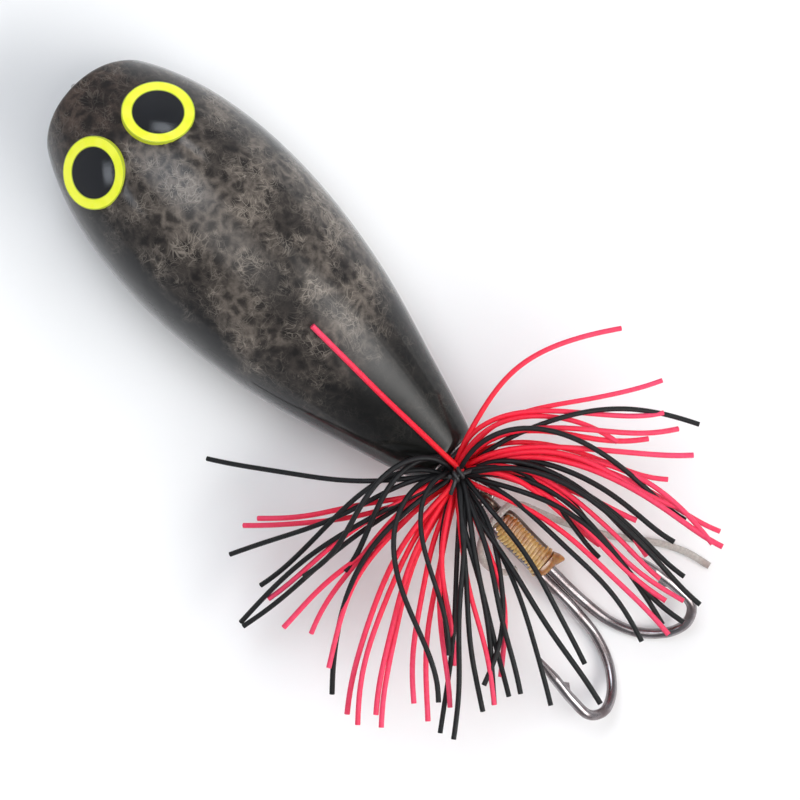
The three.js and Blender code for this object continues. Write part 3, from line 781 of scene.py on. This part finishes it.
def body_shell(name, over, node):
    """The back or the belly shell, a closed hollow half whose flat meets the other at the parting plane."""
    sign = 1 if over else -1
    angles = sign * np.linspace(0, math.pi, COLUMNS + 1)
    grid = [list(column) for column in zip(*[body_column(angle) for angle in angles])]
    if over:
        sink_under_eyes(grid)
    points = []
    cup_middle = CUP_CENTRE - np.array([CUP_DEPTH, 0, 0])
    faces, outer = half_skin(points, grid, [np.array([grid[0][0][0], 0.0, WIRE_Z]), cup_middle])
    inside = [[skin_point(station, angle, WALL) for angle in angles] for station in np.linspace(*HOLLOW, 60)]
    more, inner = half_skin(points, inside, [np.array([NOSE_X - station, 0.0, WIRE_Z]) for station in HOLLOW])
    loops = [[Vector((points[index][0], points[index][1], 0)) for index in rim] for rim in (outer, inner)]
    rims = outer + inner
    faces += more + [[rims[corner] for corner in face] for face in tessellate_polygon(loops)]
    shape = Shape()
    shape.add(points, faces)
    finished(shape.object(name, PAINT, 50), ROOT, "shell_finish", node)


body_shell("painted_back", True, "back_shell")
body_shell("painted_belly", False, "belly_shell")


# ---- Eyes ----


def add_eye(label, eye):
    place = eye_place(eye) @ Matrix.Translation((0, 0, eye_seat(eye)))
    iris = Shape()
    inner = PUPIL_RADIUS + 0.01
    profile = [(inner, -PLATE_DEPTH), (inner, -0.02), (inner + 0.03, 0.0)]
    profile += [(radius, 0.0) for radius in np.linspace(inner + 0.2, EYE_RADIUS - 0.05, 7)]
    profile += [(EYE_RADIUS, -0.04), (EYE_RADIUS, -PLATE_DEPTH)]
    iris.turned(profile[::-1], place, EYE_SIDES)
    finished(iris.object(f"iris_{label}", IRIS), ROOT, "eye_iris", f"eye_{label}_ring")

    pupil = Shape()
    reach = np.linspace(0.3, PUPIL_RADIUS - 0.03, 8)
    profile = [(0, -PLATE_DEPTH), (PUPIL_RADIUS, -PLATE_DEPTH), (PUPIL_RADIUS, -0.03)]
    profile += [(radius, 0.0) for radius in reach[::-1]] + [(0, 0.0)]
    pupil.turned(profile, place, EYE_SIDES)
    finished(pupil.object(f"pupil_{label}", PUPIL), ROOT, "eye_pupil", f"eye_{label}_pupil")

    dome = Shape()
    edge, thin = EYE_RADIUS + 0.02, 0.04
    profile = [(0, 0.015), (edge - 0.06, 0.015), (edge, thin)]
    profile += [(edge * share, thin + DOME_RISE * (1 - share**2)) for share in np.linspace(0.985, 0, 24)]
    dome.turned(profile, place, EYE_SIDES)
    finished(dome.object(f"dome_{label}", DOME, 12), ROOT, "eye_lens", f"eye_{label}_lens")


for label, eye in EYES.items():
    add_eye(label, eye)


# ---- Wires, ferrule and weights ----

WIRE_RADIUS = 0.35
LINE_TIE_STATION, LINE_TIE_RADIUS = 1.25, 1.25
TAIL_EYE_STATION, TAIL_EYE_RADIUS = 53.3, 0.8
RING_RADIUS, RING_WIRE = 1.3, 0.3
HANGER_EYE, HANGER_WIRE = 0.85, 0.4
DROOP = math.radians(20.3)
TAIL_EYE = np.array([NOSE_X - TAIL_EYE_STATION, 0.0, WIRE_Z])
X_AXIS, Y_AXIS, Z_AXIS = np.eye(3)
WIRE_SIDES = 20
FERRULE = {"inner": 0.5, "outer": 1.2, "half": 2.475, "middle": 49.375}
BAND = {"inner": 2.15, "outer": 2.6, "half": 0.225, "middle": 50.375}


def circle(centre, across, up, radius, steps=72):
    return ring_about(centre, across, up, radius, round_angles(steps))


def trailing(back, y, up):
    """A point of the trailing hooks' frame, which slopes down and back from the tail eye."""
    cosine, sine = math.cos(DROOP), math.sin(DROOP)
    return TAIL_EYE + np.array([-back * cosine - up * sine, y, -back * sine + up * cosine])


TRAIL_BACK = trailing(1, 0, 0) - TAIL_EYE
TRAIL_UP = trailing(0, 0, 1) - TAIL_EYE


def through_wire():
    wire = Shape()
    tie = np.array([NOSE_X - LINE_TIE_STATION, 0, WIRE_Z])
    wire.loop(circle(tie, X_AXIS, Z_AXIS, LINE_TIE_RADIUS), WIRE_RADIUS, WIRE_SIDES)
    wire.loop(circle(TAIL_EYE, X_AXIS, Z_AXIS, TAIL_EYE_RADIUS), WIRE_RADIUS, WIRE_SIDES)
    ends = tie - X_AXIS * LINE_TIE_RADIUS, TAIL_EYE + X_AXIS * TAIL_EYE_RADIUS
    wire.sweep(np.linspace(*ends, 40), WIRE_RADIUS, WIRE_SIDES)
    finished(wire.object("straight_wire", STEEL), ROOT, "steel_wire", "through_wire")


def swing_ring():
    ring = Shape()
    centre = trailing(RING_RADIUS, 0, 0)
    ring.loop(circle(centre, TRAIL_BACK, Y_AXIS, RING_RADIUS), RING_WIRE, WIRE_SIDES)
    finished(ring.object("split_ring", STEEL), RING_BODY, "steel_wire", "swing_ring")


def collar_profile(inner, outer, half, bevel):
    """Half section of a collar with bevelled outer edges, or of a plain bar where inner is 0."""
    return [
        (inner, -half),
        (outer - bevel, -half),
        (outer, -half + bevel),
        (outer, half - bevel),
        (outer - bevel, half),
        (inner, half),
    ]


def on_wire(station):
    """A frame on the through-wire whose z axis points backwards."""
    return Matrix.Translation((NOSE_X - station, 0, WIRE_Z)) @ Matrix.Rotation(-math.pi / 2, 4, "Y")


def collar(name, material, slot, node, size, sides):
    shape = Shape()
    profile = collar_profile(size["inner"], size["outer"], size["half"], 0.15)
    shape.turned(profile, on_wire(size["middle"]), sides)
    finished(shape.object(name, material), ROOT, slot, node)


def weight(name, node, station, radius, half_length, z):
    place = Matrix.Translation((NOSE_X - station, 0, z)) @ Matrix.Rotation(math.pi / 2, 4, "X")
    shape = Shape()
    shape.turned(collar_profile(0, radius, half_length, radius * 0.15), place, 40)
    finished(shape.object(name, CASTING), ROOT, "weight_metal", node)


through_wire()
swing_ring()
collar("ferrule_tube", BLACK_STEEL, "black_steel", "tail_ferrule", FERRULE, 40)
collar("rubber_band", BAND_RUBBER, "skirt_black", "skirt_band", BAND, 56)
weight("belly_casting", "belly_weight", 22.2, 2.3, 4.0, 4.15)
weight("tail_casting", "tail_weight", 36.3, 1.4, 2.4, 4.85)


# ---- Hooks ----

HOOK_WIRE = 0.5
# Distance behind the tail eye, and towards the point, in the hook's own plane.
HOOK_LINE = [
    (4.9, 0), (11, 0), (16.5, 0.05), (20.3, 0.6), (22.9, 2.0), (24.5, 4.2), (24.7, 6.4), (23.4, 8.1),
    (21, 8.25), (18.6, 7.95), (16.6, 7.65), (14.9, 7.3),
]
POINT_LENGTH = 3.4
BARB = [(18.9, 7.75), (19.9, 7.0), (20.5, 7.95)]  # root, tip and heel, in the hook's own plane
HOOKS = {"left": (1.55, 50, 1), "right": (0.48, 61, -1)}  # y of the shank, lean from upright, hand
HANGER_Y, HANGER_RISE = -0.48, 0.15


def on_hook(hook, back, gap, aside=0.0):
    """A point of a hook's plane, or one that stands a little to its side."""
    y, lean, hand = hook
    lean = math.radians(lean)
    return trailing(
        back,
        y + hand * (gap * math.sin(lean) + aside * math.cos(lean)),
        gap * math.cos(lean) - aside * math.sin(lean),
    )


def add_hook(label, hook):
    line = spline([on_hook(hook, *point) for point in HOOK_LINE], 240)
    left = run_length(line)[-1] - run_length(line)
    grind = np.clip(left / POINT_LENGTH, 0, 1)
    radius = HOOK_WIRE * np.maximum(grind**0.8, 0.03)
    shape = Shape()
    shape.sweep(line, radius, 24)
    root, tip, heel = BARB
    base = [on_hook(hook, *end, hand * half) for hand in (1, -1) for end, half in ((root, 0.12), (heel, 0.2))]
    shape.add([on_hook(hook, *tip), *base], [(0, 1, 2), (0, 4, 3), (0, 2, 4), (0, 3, 1), (1, 3, 4, 2)])
    finished(shape.object(f"barbed_hook_{label}", BLACK_STEEL), HOOK_BODY, "black_steel", f"hook_{label}")


for label, hook in HOOKS.items():
    add_hook(label, hook)


def hanger():
    shape = Shape()
    eye_middle = 2 * RING_RADIUS
    eye = circle(trailing(eye_middle, 0, 0), TRAIL_BACK, TRAIL_UP, HANGER_EYE)
    shape.loop(eye, HANGER_WIRE, WIRE_SIDES)
    leg = [(eye_middle + HANGER_EYE, 0, 0), (eye_middle + HANGER_EYE + 0.5, 0, 0)]
    leg += [(5.15, HANGER_Y, HANGER_RISE), (8.0, HANGER_Y, HANGER_RISE), (10.8, HANGER_Y, HANGER_RISE)]
    shape.sweep(spline([trailing(*point) for point in leg], 60), HANGER_WIRE, WIRE_SIDES)
    finished(shape.object("hanger_loop", HANGER_STEEL), HOOK_BODY, "steel_wire", "hanger_wire")


hanger()

LASHING_FRONT, LASHING_BACK, LASHING_Y = 4.75, 11.3, 0.58
LASHING_HALF_WIDTH, LASHING_HALF_THICKNESS, LASHING_RISE = 1.5, 0.78, 0.05
LASHING_TURNS = 15
THREAD_RADIUS = 0.25


def lashed_section(angle, half_width, half_thickness):
    """A point of the flat round-edged section that the thread is wound over."""
    side, up = math.cos(angle), math.sin(angle)
    y = math.copysign(abs(side) ** 0.72, side) * half_width
    return y, math.copysign(abs(up) ** 0.85, up) * half_thickness


def lashing_reach(share):
    """Half width and half thickness of the lashing: drawn in at the front and flared at the back."""
    narrow = 0.28 * max(0.0, 1 - share * 5) ** 1.5
    waist = 0.1 * math.sin(math.pi * min(max(share * 1.2 - 0.2, 0), 1))
    flare = 0.16 * max(0.0, share * 6 - 5) ** 2
    growth = flare - narrow - waist
    return LASHING_HALF_WIDTH + growth, LASHING_HALF_THICKNESS + growth * 0.5


def lashing():
    dice = random.Random(11)
    shape = Shape()
    per_turn = 44
    nudges = [dice.uniform(-0.06, 0.06) for _ in range(LASHING_TURNS + 2)]
    line = []
    for step in range(LASHING_TURNS * per_turn + 1):
        turn = step / per_turn
        whole = int(turn)
        nudge = nudges[whole] * (1 - turn + whole) + nudges[whole + 1] * (turn - whole)
        share = turn / LASHING_TURNS
        wide, thick = lashing_reach(share)
        half_width, half_thickness = wide - THREAD_RADIUS + nudge, thick - THREAD_RADIUS + nudge * 0.5
        y, up = lashed_section(2 * math.pi * turn, half_width, half_thickness)
        back = LASHING_FRONT + THREAD_RADIUS + (LASHING_BACK - LASHING_FRONT - 2 * THREAD_RADIUS) * share
        line.append(trailing(back + 0.22 * y / wide, LASHING_Y + y, LASHING_RISE + up))
    reach = np.linspace(0, LASHING_BACK - LASHING_FRONT, len(line))
    shape.sweep(line, THREAD_RADIUS, 10, back=np.append(np.repeat(reach, 10), [0, reach[-1]]))

    core = []
    inset = THREAD_RADIUS * 1.3
    for share in np.linspace(0.02, 0.99, 16):
        wide, thick = lashing_reach(share)
        back = LASHING_FRONT + (LASHING_BACK - LASHING_FRONT) * share
        section = [lashed_section(angle, wide - inset, thick - inset) for angle in round_angles(48)]
        core.append([trailing(back, LASHING_Y + y, LASHING_RISE + up) for y, up in section])
    shape.skin(core, [np.mean(core[end], axis=0) for end in (0, -1)])
    finished(shape.object("wound_lashing", THREAD), HOOK_BODY, "lashing", "lashing_thread")


def resin_bead():
    """The resin that has run to the back of the lashing, drawn out to a corner on the right."""
    shape = Shape()
    rings = []
    for share in np.linspace(0, 1, 14):
        back = LASHING_BACK - 0.25 + 0.95 * share
        swell = math.cos(math.pi / 2 * share) ** 0.6
        ring = []
        for angle in round_angles(64):
            y, up = lashed_section(angle, 0.9 + 0.62 * swell, 0.4 + 0.34 * swell)
            corner = max(0.0, -math.cos(angle)) ** 8 * share
            ring.append(trailing(back + corner * 0.45, LASHING_Y + y - corner * 0.75, LASHING_RISE + up))
        rings.append(ring)
    shape.skin(rings, [np.mean(rings[end], axis=0) for end in (0, -1)])
    finished(shape.object("resin_drop", RESIN), HOOK_BODY, "resin", "resin_bead")


lashing()
resin_bead()


# ---- Skirt ----

STRAND_RADIUS = 0.28
STRAND_SIDES = 10
KNOT = np.array([NOSE_X - 52.0, 0.45, 10.6])  # top of the bound strands
ROOT_RING = 1.7  # radius of the ring that the strands leave from
# Heading of each tuft: 0 points straight back and 90 points to the frog's left.
TUFTS = {
    "red": {"01": -84, "02": -47, "03": -16, "04": 38, "05": 68, "06": 102},
    "black": {"01": -63, "02": -31, "03": 0, "04": 19, "05": 53, "06": 85, "07": 124},
}
# These lie over the hooks. They are left loose, on no body, while the other tufts ride on the lure's body.
REAR_TUFTS = {"red": ("02", "03", "04"), "black": ("02", "03", "04", "05")}
# Each strand: heading of its tip from the knot, reach seen from above, how far its heading turns on the way
# from the knot, and how early it does so.
STRANDS = {
    "red": [
        (-87, 21, -40, 1), (-70, 21.5, -55, 2), (-62, 20.5, -80, 2), (-57, 21.5, -75, 2.5),
        (-57, 15.5, -65, 1), (-56, 18.5, -60, 2), (-50, 22.5, -35, 2), (-44, 20, -65, 2),
        (-37, 21, -50, 1.5), (-33, 25.5, -45, 1.5), (-31, 17.5, -30, 1.5), (-30, 25, -45, 1),
        (-30, 26, -50, 1.5), (-19, 15, -40, 1.5), (-16, 24.5, -65, 2.5), (-14, 23, -45, 2),
        (-8, 25, -15, 1), (-18, 21.5, -50, 1.5), (-22, 19.5, -40, 1), (33, 19.5, -20, 1),
        (36, 22, 10, 2.5), (46, 18, 20, 1.5), (47, 22, 20, 1.5), (52, 23.5, 10, 1),
        (56, 22, 15, 1), (62, 25, 15, 1), (64, 24, 15, 1), (67, 25.5, 20, 1),
        (70, 25, 20, 1), (79, 22, 25, 1), (88, 20.5, 20, 1), (94, 22, 5, 1),
        (102, 21.5, 15, 1.5), (122, 21, -15, 1), (123, 19.5, -10, 1),
    ],
    "black": [
        (-57, 23.5, -35, 1), (-34, 22, -90, 1.5), (-28, 21.5, -55, 1.5), (-21, 23.5, -50, 1.5),
        (-17, 26, -50, 1.5), (-17, 17, -75, 1.5), (-15, 15.5, -65, 1.5), (-12, 25.5, -55, 2),
        (-9, 24, -30, 1), (-24, 19, -60, 1.5), (-3, 23.5, -20, 1), (11, 21.5, -10, 1),
        (13, 25.5, 10, 3), (23, 23.5, -10, 1), (29, 21.5, -5, 1), (32, 21.5, 15, 3),
        (36, 22, -5, 1), (38, 20, -35, 1), (39, 22.5, 5, 1), (46, 25, -5, 1),
        (48, 17, 15, 1), (48, 17, 95, 2.5), (49, 24.5, -5, 1), (50, 21.5, 110, 2),
        (75, 24, 35, 1), (95, 14, 110, 2), (100, 25, 20, 2.5), (101, 25, 15, 1),
        (102, 17.5, 110, 2.5), (106, 21.5, 60, 2), (116, 23, 45, 5), (139, 24, -10, 1),
    ],
}
WIDE_TURN = 90
# Station, y and z of the one red strand that lies forward over the back.
OVER_THE_BACK = [
    (52.0, -0.2, 11.3), (50.2, -0.1, 11.6), (46, 0, 12.2),
    (42, 0.1, 13.1), (37, 0.1, 14.7), (32.2, 0.1, 16.25),
]


def strand_line(tip_heading, reach, turn, early, lift, dice):
    """Centre line of one strand, from inside the knot out to its tip."""
    low = math.cos(math.radians(tip_heading)) * 0.5 + 0.5  # 1 for the strands that point straight back
    hump = 2.6 + 1.4 * low + dice.uniform(-0.8, 0.8)
    tip_z = 3.2 + 7.4 * low + dice.uniform(-1.0, 1.0)
    if turn > WIDE_TURN:  # these come round from the front and lie over the others
        hump += 1.6
        tip_z += 3.2
    start = KNOT + [dice.uniform(-0.5, 0.5), dice.uniform(-0.6, 0.6), dice.uniform(-1.7, 0.2) + lift]
    sway, phase = dice.uniform(0.2, 0.55), dice.uniform(0, 6)
    line = []
    for share in np.linspace(0, 1, 44):
        heading = math.radians(tip_heading + turn * (1 - share) ** early)
        aside = sway * math.sin(phase + 7.5 * share) * share * (1 - share) * 2.2
        out = 0.3 + (reach - 0.3) * share
        settle = (1 - share) ** 3
        x = KNOT[0] - out * math.cos(heading) + aside * math.sin(heading) + (start[0] - KNOT[0]) * settle
        y = KNOT[1] + out * math.sin(heading) + aside * math.cos(heading) + (start[1] - KNOT[1]) * settle
        z = start[2] + (tip_z - start[2]) * share**1.6 + hump * 3.2 * share * (1 - share) ** 1.6
        line.append([x, y, z])
    leave = math.radians(tip_heading + turn)
    root = np.array([KNOT[0] + 1.6, KNOT[1] * 0.5 + ROOT_RING * 0.6 * math.sin(leave), WIRE_Z + 1.4])
    line = np.vstack([spline([root, (line[0] + root) / 2 + [0, 0, 0.5], line[0]], 5)[:-1], line])
    for _ in range(6):
        line = above_body(line)
        line[1:-1] = (line[:-2] + 2 * line[1:-1] + line[2:]) / 4
    return above_body(line)


def above_body(line):
    """Lifts the points of a line that would run into the body."""
    for point in line:
        station = NOSE_X - point[0]
        if station < BODY_END + 0.3:
            half_width = body_at(min(station, BODY_END))[0]
            if abs(point[1]) < half_width:
                skin = back_height(min(station, BODY_END), point[1])
                point[2] = max(point[2], skin + STRAND_RADIUS + 0.06)
    return line


def skirt_tie():
    """The thread that binds the strands, with the knot that ties it off on top."""
    tie = Shape()
    turns = 6
    angles = np.linspace(0, 2 * math.pi * turns, turns * 40)
    shares = angles / angles[-1]
    radius = 2.32 + 0.05 * np.sin(5 * angles)
    line = np.stack(
        [NOSE_X - 50.68 - 0.34 * shares, radius * np.cos(angles), WIRE_Z + radius * np.sin(angles)], axis=1
    )
    tie.sweep(line, 0.11, 8)
    angles = np.linspace(0, 4 * math.pi, 90)
    coil = 0.42 + 0.06 * np.sin(angles / 2)
    middle = KNOT + [0.1, 0.0, 1.55]
    x = middle[0] + coil * np.cos(angles)
    z = middle[2] + 0.3 * np.sin(angles)
    tie.sweep(np.stack([x, middle[1] + 0.09 * (angles - 2 * math.pi), z], axis=1), 0.2, 10)
    for way, rise in ((1, 0.15), (-1, -0.1)):
        end = [middle + [-0.2 * step, way * 0.42 * step, rise * step - 0.05 * step**2] for step in range(5)]
        tie.sweep(spline(end, 16), 0.2, 10)
    finished(tie.object("tie_thread", BAND_RUBBER), ROOT, "skirt_black", "skirt_tie")


def nearest_tuft(colour, heading):
    tufts = TUFTS[colour]
    return min(tufts, key=lambda name: abs(tufts[name] - heading))


def add_skirt():
    dice = random.Random(5)
    for colour, material, lift in (("red", RED, -0.4), ("black", BLACK, 0.4)):
        shapes = {name: Shape() for name in TUFTS[colour]}
        for heading, *bend in STRANDS[colour]:
            line = strand_line(heading, *bend, lift, dice)
            thick = STRAND_RADIUS * dice.uniform(0.86, 0.98)
            tuft = shapes[nearest_tuft(colour, heading)]
            tuft.sweep(line, thick, STRAND_SIDES, tone=dice.uniform(-0.5, 0.5))
        if colour == "red":
            points = [(NOSE_X - station, y, z) for station, y, z in OVER_THE_BACK]
            shapes["06"].sweep(spline(points, 50), STRAND_RADIUS, STRAND_SIDES, tone=0.0)
        for name, shape in shapes.items():
            made = shape.object(f"strands_{colour}_{name}", material, 50)
            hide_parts(f"skirt_{colour}_{name}")
            if name in REAR_TUFTS[colour]:
                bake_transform(made)
            else:
                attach(made, ROOT)


add_skirt()
skirt_tie()


# ---- Floor and light ----


def floor():
    mesh = bpy.data.meshes.new("floor")
    half = 1.5
    corners = [(x * half, y * half, 0) for x, y in ((-1, -1), (1, -1), (1, 1), (-1, 1))]
    mesh.from_pydata(corners, [], [(0, 1, 2, 3)])
    look = Look("floor", Roughness=0.9, Specular_IOR_Level=0.1)
    grain = look.noise(40.0, 3.0)
    look.shade("Base Color", look.mix(grain, (243.45,) * 3, (246.99,) * 3))
    mesh.materials.append(look.material)
    placed("floor", mesh)


def softbox(name, toward_light, distance, width, height, power, colour=(1, 1, 1)):
    """A softbox that faces the lure, made of nested panels so that it is brightest in the middle."""
    way = Vector(toward_light).normalized()
    target = Vector((-0.017, 0, 0.008))
    layers = 6
    sizes = [0.4 + 0.6 * layer / (layers - 1) for layer in range(layers)]
    area = sum(size**2 for size in sizes)
    for layer, size in enumerate(sizes):
        data = bpy.data.lights.new(f"{name}_{layer}", "AREA")
        data.shape = "RECTANGLE" if layer % 2 else "ELLIPSE"
        data.size, data.size_y = width * size, height * size
        data.energy = power * size**2 / area
        data.color = colour
        light = placed(f"{name}_{layer}", data)
        light.location = target + way * (distance + 0.01 * layer)
        light.rotation_mode = "QUATERNION"
        light.rotation_quaternion = way.to_track_quat("Z", "Y")


def sky(world):
    """A dim ceiling over a bright horizon, as in a light tent that is open at the top."""
    world.use_nodes = True
    tree = world.node_tree
    background = tree.nodes["Background"]
    background.inputs["Color"].default_value = (0.80, 0.82, 0.86, 1)
    place = tree.nodes.new("ShaderNodeTexCoord")
    apart = tree.nodes.new("ShaderNodeSeparateXYZ")
    fade = tree.nodes.new("ShaderNodeMapRange")
    fade.interpolation_type = "SMOOTHSTEP"
    for socket, value in (("From Min", 0.1), ("From Max", 0.85), ("To Min", 0.6), ("To Max", 0.2)):
        fade.inputs[socket].default_value = value
    tree.links.new(place.outputs["Generated"], apart.inputs[0])
    tree.links.new(apart.outputs["Z"], fade.inputs["Value"])
    tree.links.new(fade.outputs["Result"], background.inputs["Strength"])


def light_up():
    world = bpy.data.worlds.new("studio")
    bpy.context.scene.world = world
    sky(world)
    warm, cool = (1.0, 0.99, 0.97), (0.86, 0.92, 1.0)
    softbox("rear_box", (-1.02, -0.4, 1.0), 1.5, 2.0, 1.0, 19.0, warm)
    softbox("left_window", (0.52, 0.60, 0.61), 1.4, 0.44, 0.25, 0.72, cool)
    softbox("front_window", (0.48, -0.62, 0.61), 1.4, 0.44, 0.25, 0.72, cool)
    softbox("top_box", (0.0, 0.0, 1.0), 1.3, 1.2, 1.2, 4.5)
    softbox("front_box", (0.5, -0.12, 1.0), 1.4, 1.3, 0.8, 7.0, cool)


floor()
light_up()
bpy.context.scene.view_settings.view_transform = "Standard"

bpy.context.view_layer.update()
